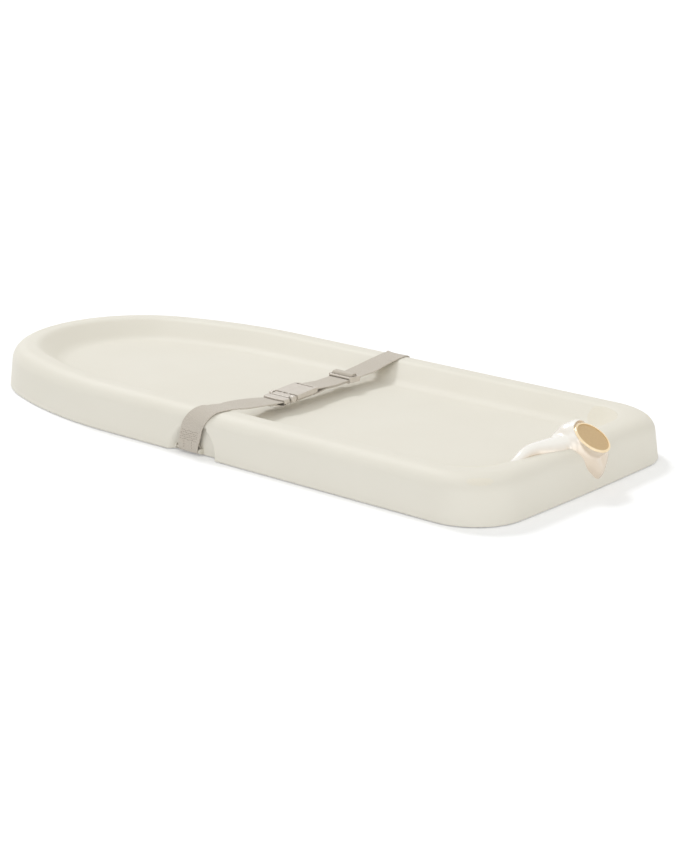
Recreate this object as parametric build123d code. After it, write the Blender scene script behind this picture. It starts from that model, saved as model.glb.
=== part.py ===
from build123d import *
import math
import os

# Contoured changing pad: a long foam moulding with a raised rim, a smooth skin, rubber feet, a webbing
# belt with a side-release buckle and a slider, and an ornamental saddle on the foot rim.
# +X points to the foot end, -X to the round head end, +Z up. Millimetres.

# --- pad moulding ---
pad_length = 820.0
pad_width = 358.0
foot_height = 1.0            # how far the rubber feet lift the moulding
rim_height = 49.0            # base of the moulding to the crest of the rim
foam_under_child = 27.0      # base of the moulding to the lying basin
nose_radius = 155.0          # arc round the head end
head_taper_x = -125.0        # where the straight sides start to taper towards the head
corner_radius = 61.0         # foot corners in plan
foot_bow = 3.7               # the foot edge is slightly convex
wall_draft = 6.4             # degrees, outer wall leans inwards
crest_radius = 19.0          # outer round of the rim
lip_radius = 14.0            # inner round of the rim
basin_inset = 62.0           # outer edge to the edge of the basin floor
basin_slope = 50.0           # degrees from vertical, inner wall of the rim
basin_radius = 26.0          # round where the inner wall meets the floor
basin_corner = 38.0          # foot corners of the basin floor in plan
skin = 1.5                   # skin of the moulding

# --- recess for the strap end, in both long walls ---
recess_x = 10.0
recess_radius = 36.0
recess_depth = 8.3

# --- webbing and fits ---
webbing = 1.4                # thickness
belt_width = 29.5
seat_gap = 0.3               # clearance between soft parts and what they lie on
ply_gap = 0.1                # between two plies of webbing
belt_x = 27.0                # centre of the belt between the rims
leg_foot_x = 3.5             # centre of the strap leg at its anchor
near_cross_x = 20.5          # where the near strap crosses the crest
far_cross_x = 27.0           # where the far strap crosses the crest
crest_run = 32.0             # from the outer edge to where the strap leaves the crest
split_run = 46.0             # from the outer edge to where the belt's free span starts
crest_bend = 60.0            # soft bend of the strap where it leaves the crest

# --- strap anchors ---
bar_diameter = 3.0
bar_height = 5.5             # bar axis above the floor
ear_clearance = 2.2          # beside the webbing, leaves room for its slant
ear = 2.0
plate_low = 2.6
plate_top = 28.0
screw_height = 19.0
block_low = 5.0
block_size = (46.0, 15.0, 24.0)
ply_join = 14.0              # the two plies of the strap meet above this height
ply_part = 9.5               # and run apart below it, round the bar
screw_shank = 3.5
screw_head = 7.0
screw_length = 13.0
screw_spacing = 22.0
head_thickness = 1.8

# --- buckle ---
run_z = 42.4                 # webbing level at the slider and in the middle of the buckle
buckle_pitch = 3.2           # degrees, the buckle's far end sits higher
pivot_y = -35.6
bar_radius = 1.55            # moulded bars that webbing wraps round
plug_end_y = -62.0
end_bow = 1.8                # the plug's outer end is an arc
mouth_y = -51.3              # plug shoulder against the socket mouth
socket_end_y = -3.0
socket_width = 35.0
plug_width = 33.4
plate = 2.2                  # top and bottom plates of the socket
under_bevel = 3.6            # under the long edges
corner_round = 4.5
edge_round = 1.2
cheek_clearance = 0.35       # webbing edge to cheek
bar_from_end = 5.3
prong_width = 8.0
prong_length = 25.0
prong_bevel = 2.5
arm_height = 3.4
arm_root_x = 11.5
arm_root_radius = 1.2
arm_out_x = 14.0
arm_thickness = 2.4
button_y = -46.0
button_z = 42.8
button_radius = 4.0
button_reach = 18.2
side_wall_y = -39.5          # the socket is open at its sides from its mouth to here
notch_x = 12.9               # and its plates are narrower there, to let the buttons in
hinge_gap = 0.25
catch_width = 2.0
catch_length = 1.6
slot_length = 3.0            # slots in the top plate, along the belt
slot_in_x = 5.2
slot_out_x = 13.4
waist_y = -23.4              # from here to its far end the socket is a little narrower
waist_step = 0.9
end_slot = (25.0, 2.2)       # across and along the belt
end_slot_edge = 3.3

# --- adjusting loop ---
loop_sag = 0.6               # the loop hangs this much between buckle and slider
sag_y = 28.0
join_y = 14.0                # the two plies of the loop meet here

# --- slider ---
slider_y = 53.2
slider_length = 18.5
slider_bar = 3.4
bar_thickness = 2.6
core_rise = 1.2              # underside of the middle bar above the webbing's level
core_thickness = 2.4
rail = 2.2
rail_drop = 2.9

# --- badge on the foot rim ---
badge_from_edge = 8.7        # centre of the disc from the foot edge
badge_y = 14.4
badge_above_rim = 5.0
badge_lean = 33.7            # degrees, the disc leans outwards
badge_turn = 5.5             # degrees, and faces a little to the far side
badge_radius = 21.3
bezel_width = 2.3
bezel_height = 1.6
disc_recess = 0.6
collar_depth = 1.5           # neck between the disc and the body of the saddle
collar_steps = [(20.6, 3.0), (18.5, 10.0), (16.5, 18.0), (15.0, 27.0), (17.0, 42.0)]    # radius, depth
bulb = (-16.6, -1.6, -3.4, 19.5)                     # place from the disc's centre, radius
ridge_steps = [(-17.3, -6.4, -5.0, 17.0), (-26.3, -30.4, -10.0, 12.0), (-32.3, -48.4, -12.0, 9.0),
               (-38.3, -64.4, -13.0, 6.0), (-44.3, -80.4, -17.5, 4.0)]
tongue_steps = [(-9.3, 2.6, -13.0, 20.0), (-4.3, 4.6, -25.0, 17.0), (0.0, 5.6, -35.0, 11.0),
                (3.0, 6.6, -42.5, 5.0)]
peg_diameter = 6.0
peg_length = 16.0
peg_spacing = 18.0
peg_back = 16.3              # from the disc's centre towards the head

# --- feet ---
foot_diameter = 28.0
foot_depth = 1.5             # sunk into the skin
head_foot_inset = 110.0      # from the head end
shoulder_foot = (260.0, 67.0)                        # from the head end, from the long side
waist_foot = (320.0, 49.0)                           # from the foot end, from the long side
corner_foot = (65.0, 74.0)

base_z = foot_height
rim_z = base_z + rim_height
floor_z = base_z + foam_under_child
half_l = pad_length / 2
half_w = pad_width / 2
half_belt = belt_width / 2
ply = webbing + ply_gap
over = 1.0                   # cutters run past what they cut by this
parts = {}


def block(x0, x1, y0, y1, z0, z1):
    """A box between two corners."""
    middle = ((x0 + x1) / 2, (y0 + y1) / 2, (z0 + z1) / 2)
    return Pos(*middle) * Box(abs(x1 - x0), abs(y1 - y0), abs(z1 - z0))


def rod(start, end, radius):
    """A round bar from one point to another."""
    a, b = Vector(*start), Vector(*end)
    return Plane(origin=(a + b) / 2, z_dir=b - a) * Cylinder(radius, (b - a).length)


# ---------------------------------------------------------------- pad
def outline(corner):
    """Plan of the moulding at its base: round head, straight sides, bowed foot edge with round corners."""
    nose_x = nose_radius - half_l
    flank = ((head_taper_x - nose_x) ** 2 + half_w**2 - nose_radius**2) / (2 * (half_w - nose_radius))
    centre = Vector(head_taper_x, half_w - flank)
    join = centre + (Vector(nose_x, 0) - centre).normalized() * flank
    side = Vector(head_taper_x, half_w)
    middle = centre + ((join + side) / 2 - centre).normalized() * flank
    foot_x = half_l - foot_bow
    over = lambda p: (p.X, -p.Y)
    edges = [
        ThreePointArc(side, middle, join),
        ThreePointArc(join, (-half_l, 0), over(join)),
        ThreePointArc(over(join), over(middle), over(side)),
        Line(over(side), (foot_x, -half_w)),
        ThreePointArc((foot_x, -half_w), (half_l, 0), (foot_x, half_w)),
        Line((foot_x, half_w), side),
    ]
    plan = make_face(edges)
    corners = plan.vertices().sort_by(Axis.X)[-2:]
    return fillet(corners, corner)


def pad_body(inset):
    """The moulding with every face moved inwards by inset."""
    plan = outline(corner_radius)
    plan = offset(plan, -inset) if inset else plan
    low, high, floor = base_z + inset, rim_z - inset, floor_z - inset
    body = extrude(Pos(0, 0, low) * plan, high - low, taper=wall_draft)
    body = fillet(body.edges().group_by(Axis.Z)[-1], crest_radius - inset)
    floor_inset = basin_inset + inset * math.tan(math.radians(45 - basin_slope / 2))
    basin_plan = offset(outline(floor_inset + basin_corner), -floor_inset)
    basin = extrude(Pos(0, 0, floor) * basin_plan, rim_z + 4 * over - floor, taper=-basin_slope)
    basin = fillet(basin.edges().group_by(Axis.Z)[0], basin_radius + inset)
    body -= basin
    crest = body.faces().filter_by(Plane.XY).sort_by(Axis.Z)[-1]
    body = fillet(crest.inner_wires()[0].edges(), lip_radius - inset)
    for side in (-1, 1):
        back = side * (half_w - recess_depth - inset)
        front = side * (half_w + over)
        body -= rod((recess_x, back, base_z), (recess_x, front, base_z), recess_radius + inset)
    return body


draft = math.radians(wall_draft)
crest_y = half_w - (rim_height - crest_radius) * math.tan(draft) - crest_radius / math.cos(draft)
turn_radius = crest_radius + seat_gap + webbing / 2
leg_y = crest_y + turn_radius                                  # centre of the strap leg's outer ply
crest_run_z = rim_z + seat_gap + webbing / 2
back_y = half_w - recess_depth                                 # back wall of the recess
loop_radius = bar_diameter / 2 + 0.15 + webbing / 2
anchor_bar_y = leg_y - loop_radius
lip_y = half_w - crest_run
split_y = half_w - split_run


def anchor(side):
    """Insert block, bracket with its bar and two screws in the recess of one long wall."""
    inner = side * (back_y - skin)
    deep = side * (back_y - skin - block_size[1])
    x0, x1 = leg_foot_x - block_size[0] / 2, leg_foot_x + block_size[0] / 2
    insert = block(x0, x1, inner, deep, block_low, block_low + block_size[2])
    reach = half_belt + ear_clearance + ear
    plate_body = block(leg_foot_x - reach, leg_foot_x + reach, inner, side * back_y, plate_low, plate_top)
    lug_top = 2 * bar_height - plate_low
    for hand in (-1, 1):
        x = leg_foot_x + hand * (reach - ear / 2)
        plate_body += block(x - ear / 2, x + ear / 2, side * back_y, side * anchor_bar_y, plate_low, lug_top)
        start = (x - ear / 2, side * anchor_bar_y, bar_height)
        plate_body += rod(start, (x + ear / 2, side * anchor_bar_y, bar_height), bar_height - plate_low)
    bar = rod((leg_foot_x - reach, side * anchor_bar_y, bar_height),
              (leg_foot_x + reach, side * anchor_bar_y, bar_height), bar_diameter / 2)
    screws = []
    for hand in (-1, 1):
        x, z = leg_foot_x + hand * screw_spacing / 2, screw_height
        head = rod((x, side * back_y, z), (x, side * (back_y + head_thickness), z), screw_head / 2)
        shank = rod((x, side * back_y, z), (x, side * (back_y - screw_length), z), screw_shank / 2)
        screws.append(head + shank)
    for screw in screws:
        plate_body -= screw
        insert -= screw
    return insert, plate_body - bar, bar, screws


# ---------------------------------------------------------------- webbing
def webbing_strip(route, radii, centre_x, width=belt_width):
    """Webbing along a route of (y, z) points, with a radius at each corner."""
    line = FilletPolyline(*route, radius=radii) if radii else Polyline(*route)
    section = trace(line, webbing)
    strip = extrude(section, width)
    return Plane.YZ * strip.moved(Location((0, 0, centre_x - width / 2)))


def lean(shape, along, origin, start_x, end_x, length):
    """Slants a strip sideways, so that its centre goes from start_x to end_x over a length along Y or Z."""
    slope = (end_x - start_x) / length
    row = [1, slope, 0, -slope * origin] if along == "Y" else [1, 0, slope, -slope * origin]
    return shape.transform_geometry(Matrix([row, [0, 1, 0, 0], [0, 0, 1, 0], [0, 0, 0, 1]]))


def strap_leg(cross_x, slope):
    """Far-side strap leg: folded round the anchor bar, sewn double, up the recess and over the crest."""
    inner_ply = leg_y - webbing - ply_gap
    loop_y = anchor_bar_y - loop_radius
    low = bar_height - loop_radius
    route = [(inner_ply, plate_top), (inner_ply, ply_join), (loop_y, ply_part), (loop_y, low), (leg_y, low),
             (leg_y, crest_run_z), (lip_y, crest_run_z), (split_y, crest_run_z - slope * (lip_y - split_y))]
    radii = [4.0, 3.0, loop_radius - 0.05, loop_radius - 0.05, turn_radius, crest_bend]
    strip = webbing_strip(route, radii, leg_foot_x)
    return lean(strip, "Z", bar_height, leg_foot_x, cross_x, crest_run_z - bar_height)


def on_buckle(y, z):
    """A point given in the level buckle, where it lies once the buckle is pitched."""
    turn, dy, dz = math.radians(buckle_pitch), y - pivot_y, z - run_z
    tipped_y = pivot_y + dy * math.cos(turn) - dz * math.sin(turn)
    return tipped_y, run_z + dy * math.sin(turn) + dz * math.cos(turn)


tipped = Pos(0, pivot_y, run_z) * Rot(buckle_pitch, 0, 0) * Pos(0, -pivot_y, -run_z)
plug_tip = on_buckle(plug_end_y - seat_gap, run_z)
slider_end_y = slider_y + slider_length
near_slope = (crest_run_z - plug_tip[1]) / (lip_y + plug_tip[0])
far_slope = (crest_run_z - run_z) / (lip_y - slider_end_y - seat_gap)
wrap_radius = bar_radius + 0.15 + webbing / 2
bar_z = run_z - wrap_radius


def near_span():
    """Near strap from the rim to the plug, slanting towards the foot end."""
    top = crest_run_z - near_slope * (lip_y - split_y)
    strip = webbing_strip([(-split_y + seat_gap, top), plug_tip], None, near_cross_x)
    return lean(strip, "Y", -split_y, near_cross_x, belt_x, split_y + plug_tip[0])


def near_end(bar_y):
    """Sewn end of the near strap, wrapped round the plug's bar and laid back under the strap."""
    turn_y, under = bar_y + wrap_radius, run_z - 2 * wrap_radius
    rise = math.tan(math.atan(near_slope) + math.radians(buckle_pitch))
    back = lambda run, gap: (plug_end_y - run, run_z + run * rise - webbing - gap)
    route = [(plug_end_y, run_z), (turn_y, run_z), (turn_y, under), (plug_end_y - 1, under),
             back(11, ply_gap), back(20, ply_gap + 0.05)]
    radii = [wrap_radius - 0.05, wrap_radius - 0.05, 8.0, 8.0]
    return tipped * webbing_strip(route, radii, belt_x)


def belt_loop(bar_y):
    """Adjusting loop: upper run from the slider, wrap round the socket's bar, lower run back."""
    turn_y, under = bar_y - wrap_radius, run_z - 2 * wrap_radius
    end_y, sag_z = slider_y - seat_gap, run_z - loop_sag
    leave = on_buckle(socket_end_y + 2, run_z)
    join_z = sag_z + (leave[1] - sag_z) * (sag_y - join_y) / (sag_y - leave[0]) - ply - 0.15
    route = [(end_y, run_z), (sag_y, sag_z), leave, on_buckle(turn_y, run_z), on_buckle(turn_y, under),
             on_buckle(socket_end_y + 3, under), (join_y, join_z), (sag_y, sag_z - ply), (end_y, run_z - ply)]
    radii = [100.0, 50.0, wrap_radius - 0.05, wrap_radius - 0.05, 30.0, 30.0, 100.0]
    return webbing_strip(route, radii, belt_x)


def slider_plies():
    """Sewn end looped round the slider's middle bar, and the ply that runs over it."""
    middle = slider_y + slider_length / 2
    side = slider_bar / 2 + 0.2 + webbing / 2
    top = run_z + core_rise + core_thickness + 0.2 + webbing / 2
    low = run_z - 2 * ply
    sewn = webbing_strip([(slider_y, run_z - ply), (middle - side, run_z - ply), (middle - side, top),
                          (middle + side, top), (middle + side, low), (slider_y + 0.4, low)],
                         [0.9, 1.2, 1.2, 1.2], belt_x)
    flank, crown = side + ply, top + ply
    over_ply = webbing_strip([(slider_y, run_z), (middle - flank - 0.9, run_z), (middle - flank, crown),
                              (middle + flank, crown), (middle + flank + 0.9, run_z), (slider_end_y, run_z)],
                             [1.0, 2.2, 2.2, 1.0], belt_x)
    return sewn, over_ply


def far_span():
    """Far strap from the slider up to the far rim."""
    top = crest_run_z - far_slope * (lip_y - split_y)
    return webbing_strip([(slider_end_y + seat_gap, run_z), (split_y - seat_gap, top)], None, belt_x)


# ---------------------------------------------------------------- buckle and slider
lip_z = run_z + webbing / 2 + seat_gap         # underside of the lips over the webbing
socket_top = lip_z + plate
arm_z = lip_z - seat_gap - arm_height
socket_low = arm_z - seat_gap - plate
cheek = half_belt + cheek_clearance
plug_bar_y = plug_end_y + bar_from_end
socket_bar_y = socket_end_y - bar_from_end


def plug():
    """Plug of the buckle: lip over the webbing bar, cheeks, shoulder and guide prong."""
    front = plug_bar_y + wrap_radius + webbing / 2 + seat_gap
    half, corner_y, low = plug_width / 2, plug_end_y + end_bow, bar_z - plate
    plan = make_face([Line((-half, mouth_y), (-half, corner_y)),
                      ThreePointArc((-half, corner_y), (0, plug_end_y), (half, corner_y)),
                      Line((half, corner_y), (half, mouth_y)),
                      Line((half, mouth_y), (-half, mouth_y))])
    body = extrude(Pos(0, 0, low) * plan, socket_top - 0.4 - low)
    body = fillet(body.edges().filter_by(Axis.Z), edge_round * 2)
    body = fillet(body.edges().group_by(Axis.Z)[-1], edge_round)
    for hand in (-1, 1):
        tool = Pos(hand * half, (mouth_y + plug_end_y) / 2, low) * Rot(0, 45, 0)
        side = under_bevel * math.sqrt(2)
        body -= tool * Box(side, 2 * (mouth_y - plug_end_y), side)
    body -= block(-cheek, cheek, plug_end_y - over, front, low - over, lip_z)
    body += rod((-cheek - 0.4, plug_bar_y, bar_z), (cheek + 0.4, plug_bar_y, bar_z), bar_radius)
    prong = block(-prong_width / 2, prong_width / 2, mouth_y - over, mouth_y + prong_length,
                  arm_z, arm_z + arm_height)
    body += chamfer(prong.edges().filter_by(Axis.Z).group_by(Axis.Y)[-1], prong_bevel)
    for hand in (-1, 1):
        seat = Cylinder(arm_root_radius + hinge_gap, 6 * arm_height)
        body -= Pos(hand * arm_root_x, mouth_y, arm_z) * seat
    return tipped * Pos(belt_x, 0, 0) * body


def latch_arm(hand):
    """Sprung arm: round root in the plug's shoulder, bowed blade, finger button, catch at its tip."""
    root = (arm_root_x, mouth_y)
    tip_x = arm_root_x + 0.1
    bow = [(arm_out_x, button_y - 1.5), (arm_out_x, button_y + 3.0)]
    line = Polyline(root, *bow, (tip_x, side_wall_y + 2.5))
    blade = extrude(Pos(0, 0, arm_z) * trace(line, arm_thickness), arm_height)
    blade += Pos(*root, arm_z + arm_height / 2) * Cylinder(arm_root_radius, arm_height)
    button = rod((arm_out_x - 0.5, button_y, button_z), (button_reach, button_y, button_z), button_radius)
    blade += fillet(button.edges().sort_by(Axis.X)[-1], edge_round)
    blade += block(tip_x - catch_width / 2, tip_x + catch_width / 2, side_wall_y - 0.4 - catch_length,
                   side_wall_y - 0.4, arm_z + arm_height - 0.5, lip_z + 1.2)
    past = lip_z + 1.2
    blade -= block(tip_x - catch_width, arm_out_x + 0.3, side_wall_y - 4, side_wall_y + 4, past, past + 4)
    blade = blade if hand > 0 else mirror(blade, about=Plane.YZ)
    return tipped * Pos(belt_x, 0, 0) * blade


def socket():
    """Socket of the buckle: two plates, side walls, catch slots, and a slotted lip over its webbing bar."""
    half = socket_width / 2
    start = mouth_y + seat_gap
    body = block(-half, half, start, socket_end_y, socket_low, socket_top)
    body = fillet(body.edges().filter_by(Axis.Z), corner_round)
    body = fillet(body.edges().group_by(Axis.Z)[-1], edge_round)
    body = chamfer(body.edges().group_by(Axis.Z)[0], under_bevel)
    wrap_end = socket_bar_y - wrap_radius - webbing / 2 - seat_gap
    back = wrap_end - 3.0
    inner = half - 2.6
    body -= block(-inner, inner, start - over, back, arm_z - seat_gap, lip_z)       # room for prong and arms
    slot_y = side_wall_y - 0.1
    body -= block(-prong_width / 2 + 0.6, prong_width / 2 - 0.6, slot_y - slot_length, slot_y, lip_z - over,
                  socket_top + over)
    for hand in (-1, 1):
        body -= block(hand * notch_x, hand * (half + over), start - over, side_wall_y, socket_low - over,
                      socket_top + over)
        body -= block(hand * slot_in_x, hand * slot_out_x, slot_y - slot_length, slot_y, arm_z,
                      socket_top + over)
        body -= block(hand * (half - waist_step), hand * (half + over), waist_y, socket_end_y + over,
                      socket_low - over, socket_top + over)
    body -= block(-cheek, cheek, wrap_end, socket_end_y + over, socket_low - over, lip_z)  # room for the wrap
    edge_y = socket_end_y - end_slot_edge
    reach = end_slot[0] / 2
    body -= block(-reach, reach, edge_y - end_slot[1], edge_y, lip_z - over, socket_top + over)
    body += rod((-cheek - 0.4, socket_bar_y, bar_z), (cheek + 0.4, socket_bar_y, bar_z), bar_radius)
    return tipped * Pos(belt_x, 0, 0) * body


def slider():
    """Tri-glide: two outer bars over the webbing, a raised middle bar that it loops over, side rails."""
    half = cheek + rail
    middle = slider_y + slider_length / 2
    top = lip_z + bar_thickness
    body = block(-half, half, slider_y, slider_end_y, run_z - rail_drop, top)
    body = fillet(body.edges().filter_by(Axis.Z), 2.5)
    body -= block(-cheek, cheek, slider_y - over, slider_end_y + over, run_z - 2 * rail_drop, top + over)
    body = body.solids()
    frame = body[0] + body[1]
    for y in (slider_y, slider_end_y - slider_bar):
        bar = block(-cheek - 0.5, cheek + 0.5, y, y + slider_bar, lip_z, top)
        frame += fillet(bar.edges().filter_by(Axis.X), edge_round)
    core_z = run_z + core_rise
    core = block(-cheek - 0.5, cheek + 0.5, middle - slider_bar / 2, middle + slider_bar / 2,
                 core_z, core_z + core_thickness)
    frame += fillet(core.edges().filter_by(Axis.X), 0.7)
    return Pos(belt_x, 0, 0) * frame


# ---------------------------------------------------------------- badge
lean_angle, turn_angle = math.radians(badge_lean), math.radians(badge_turn)
badge_normal = (math.sin(lean_angle) * math.cos(turn_angle), math.sin(lean_angle) * math.sin(turn_angle),
                math.cos(lean_angle))
badge_centre = (half_l - badge_from_edge, badge_y, rim_z + badge_above_rim)


def badge(moulding):
    """Glossy saddle over the foot rim with a boss, an inward ridge and an outer tongue; bezel and disc."""
    face = Plane(origin=badge_centre, z_dir=badge_normal)
    at = lambda step: tuple(c + d for c, d in zip(badge_centre, step))
    body = Pos(*at(bulb)) * Sphere(bulb[3])
    for route in (ridge_steps, tongue_steps):
        for near, away in zip(route, route[1:]):
            body += taper_limb(at(near), near[3], at(away), away[3])
    up = (Align.CENTER, Align.CENTER, Align.MIN)
    body -= face * Pos(0, 0, -collar_depth) * Cylinder(3 * badge_radius, 3 * badge_radius, align=up)
    side = [(badge_radius, 0)] + [(r, -depth) for r, depth in collar_steps]
    collar = make_face([Polyline(*side, (0, side[-1][1]), (0, 0), side[0])])
    body += face * revolve(Plane.XZ * collar, Axis.Z)
    body -= moulding
    body = body.solids().sort_by(SortBy.VOLUME)[-1]
    rim_in = badge_radius - bezel_width
    bezel = Cylinder(badge_radius, bezel_height, align=up)
    bezel = fillet(bezel.edges().sort_by(Axis.Z)[-1], bezel_height / 2)
    bezel = face * (bezel - Cylinder(rim_in, bezel_height * 3))
    disc = face * Cylinder(rim_in, bezel_height - disc_recess, align=up)
    return body, bezel, disc


def taper_limb(a, ra, b, rb):
    """Rounded limb between two balls of different size, with its flanks tangent to both."""
    start, end = Vector(*a), Vector(*b)
    length = (end - start).length
    along = (end - start).normalized()
    lead = (ra - rb) / length
    swell = math.sqrt(1 - lead**2)
    base = Plane(origin=start + along * ra * lead, z_dir=along)
    span = length - (ra - rb) * lead
    cone = base * Cone(ra * swell, rb * swell, span, align=(Align.CENTER, Align.CENTER, Align.MIN))
    return cone + Pos(*a) * Sphere(ra) + Pos(*b) * Sphere(rb)


# ---------------------------------------------------------------- assembly
def build():
    moulding, core = pad_body(0), pad_body(skin)
    shell = moulding - core
    for name, side in (("near", -1), ("far", 1)):
        insert, bracket, bar, screws = anchor(side)
        core -= insert
        shell -= bracket
        for screw in screws:
            core -= screw
            shell -= screw
        core -= bracket
        parts[f"anchor_block_{name}"] = [insert]
        parts[f"anchor_bracket_{name}"] = [bracket]
        parts[f"anchor_bar_{name}"] = [bar]
        parts[f"anchor_screws_{name}"] = screws
    foot_places = [(head_foot_inset - half_l, 0)]
    for hand in (1, -1):
        foot_places += [(shoulder_foot[0] - half_l, hand * (half_w - shoulder_foot[1])),
                        (half_l - waist_foot[0], hand * (half_w - waist_foot[1])),
                        (half_l - corner_foot[0], hand * (half_w - corner_foot[1]))]
    for number, (x, y) in enumerate(foot_places, 1):
        foot = Pos(x, y, 0) * Cylinder(foot_diameter / 2, foot_height + foot_depth,
                                       align=(Align.CENTER, Align.CENTER, Align.MIN))
        foot = chamfer(foot.edges().group_by(Axis.Z)[0], 0.5)
        shell -= foot
        parts[f"rubber_foot_{number}"] = [foot]
    boss, bezel, disc = badge(moulding)
    peg_x = badge_centre[0] - peg_back
    peg_ys = [badge_y - peg_spacing / 2, badge_y + peg_spacing / 2]
    pegs = [rod((peg_x, y, rim_z), (peg_x, y, rim_z - peg_length), peg_diameter / 2) for y in peg_ys]
    for peg in pegs:
        core -= peg
        shell -= peg
    parts["badge_pegs"] = pegs
    parts["badge_boss"] = [boss]
    parts["badge_bezel"] = [bezel]
    parts["badge_disc"] = [disc]
    parts["foam_core"] = [core]
    parts["outer_skin"] = [shell]
    parts["belt_far_leg"] = [strap_leg(far_cross_x, far_slope)]
    parts["belt_near_leg"] = [mirror(strap_leg(near_cross_x, near_slope), about=Plane.XZ)]
    parts["belt_near_span"] = [near_span()]
    parts["belt_near_end"] = [near_end(plug_bar_y)]
    parts["belt_loop"] = [belt_loop(socket_bar_y)]
    sewn, over = slider_plies()
    parts["belt_sewn_end"] = [sewn]
    parts["belt_over_slider"] = [over]
    parts["belt_far_span"] = [far_span()]
    parts["buckle_plug"] = [plug()]
    parts["latch_arm_head"] = [latch_arm(-1)]
    parts["latch_arm_foot"] = [latch_arm(1)]
    parts["buckle_socket"] = [socket()]
    parts["belt_slider"] = [slider()]


# The badge leans out past the foot edge, so the pad is moved back by half of that.
# The origin is then the middle of the whole.
lean_x = badge_normal[0]
badge_reach = badge_centre[0] + badge_radius * math.sqrt(1 - lean_x**2) + bezel_height * lean_x
place = Location(((half_l - badge_reach) / 2, 0, 0))

build()
os.makedirs("parts", exist_ok=True)
for name, shapes in parts.items():
    solids = [solid.moved(place) for shape in shapes for solid in shape.solids()]
    export_step(Compound(children=solids) if len(solids) > 1 else solids[0], f"parts/{name}.step")
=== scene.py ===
import bmesh
import bpy
import math
import numpy as np
from mathutils import Matrix, Vector


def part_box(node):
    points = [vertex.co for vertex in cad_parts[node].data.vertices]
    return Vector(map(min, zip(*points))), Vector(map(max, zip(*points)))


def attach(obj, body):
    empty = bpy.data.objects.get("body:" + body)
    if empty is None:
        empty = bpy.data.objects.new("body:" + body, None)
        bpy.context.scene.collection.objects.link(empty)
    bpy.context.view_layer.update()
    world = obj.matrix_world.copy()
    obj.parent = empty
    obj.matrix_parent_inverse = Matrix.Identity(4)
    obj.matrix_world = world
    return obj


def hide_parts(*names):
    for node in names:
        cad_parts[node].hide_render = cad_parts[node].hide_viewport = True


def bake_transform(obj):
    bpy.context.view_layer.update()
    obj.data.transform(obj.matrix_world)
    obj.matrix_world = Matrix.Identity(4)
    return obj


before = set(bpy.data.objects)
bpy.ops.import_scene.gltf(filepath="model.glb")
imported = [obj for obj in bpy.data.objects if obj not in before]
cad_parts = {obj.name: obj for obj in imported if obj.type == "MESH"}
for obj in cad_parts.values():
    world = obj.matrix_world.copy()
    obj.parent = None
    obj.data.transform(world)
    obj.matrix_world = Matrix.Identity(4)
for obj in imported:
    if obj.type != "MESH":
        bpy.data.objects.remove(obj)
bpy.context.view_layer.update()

# ---- Studio -------------------------------------------------------------------------------------
# A pale floor that shows as white paper and keeps the soft shadow of the pad. The key lamp stands high
# beyond the head end, and two very broad lamps fill the near side and the foot end. The camera looks
# from the near foot corner.
scene = bpy.context.scene
scene.view_settings.view_transform = "Standard"
pad_low, pad_high = (Vector(c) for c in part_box("outer_skin"))
pad_centre = (pad_low + pad_high) / 2

camera_azimuth = math.radians(41.45)
camera_elevation = math.radians(16.52)
camera_distance = 2.3906
aim_height = 0.0005
camera = bpy.data.objects.new("camera", bpy.data.cameras.new("camera"))
bpy.context.collection.objects.link(camera)
back = Vector((math.sin(camera_azimuth) * math.cos(camera_elevation),
               -math.cos(camera_azimuth) * math.cos(camera_elevation),
               math.sin(camera_elevation)))
camera.location = Vector((pad_centre.x, pad_centre.y, aim_height)) + back * camera_distance
camera.rotation_mode = "QUATERNION"
camera.rotation_quaternion = (-back).to_track_quat("-Z", "Y")
camera.data.lens = 87.52
camera.data.sensor_width = 36.0
camera.data.shift_x = 0.0564
camera.data.shift_y = -0.0071
scene.camera = camera


def white_backdrop(tree, output_socket, lit, white_strength):
    """Shows white to the camera and in reflections, and the lit surface or sky to everything else."""
    nodes, links = tree.nodes, tree.links
    path = nodes.new("ShaderNodeLightPath")
    seen = nodes.new("ShaderNodeMath")
    seen.operation = "MAXIMUM"
    mirrored = nodes.new("ShaderNodeMath")
    mirrored.operation = "MAXIMUM"
    links.new(path.outputs["Is Camera Ray"], seen.inputs[0])
    links.new(path.outputs["Is Glossy Ray"], mirrored.inputs[0])
    links.new(path.outputs["Is Transmission Ray"], mirrored.inputs[1])
    links.new(mirrored.outputs[0], seen.inputs[1])
    strength = nodes.new("ShaderNodeMapRange")
    strength.inputs["To Min"].default_value = lit
    strength.inputs["To Max"].default_value = white_strength
    links.new(seen.outputs[0], strength.inputs["Value"])
    links.new(strength.outputs["Result"], output_socket)
    return seen.outputs[0]


sky_strength = 0.60
paper_white = 1.0
paper_glow = 0.19
world = bpy.data.worlds.new("studio")
world.use_nodes = True
sky = world.node_tree.nodes["Background"]
seen = white_backdrop(world.node_tree, sky.inputs["Strength"], sky_strength, paper_white)
warmth = world.node_tree.nodes.new("ShaderNodeMix")
warmth.data_type = "RGBA"
warmth.inputs["A"].default_value = (1.0, 0.985, 0.93, 1.0)
warmth.inputs["B"].default_value = (1.0, 1.0, 1.0, 1.0)
world.node_tree.links.new(seen, warmth.inputs["Factor"])
world.node_tree.links.new(warmth.outputs["Result"], sky.inputs["Color"])
scene.world = world

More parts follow.
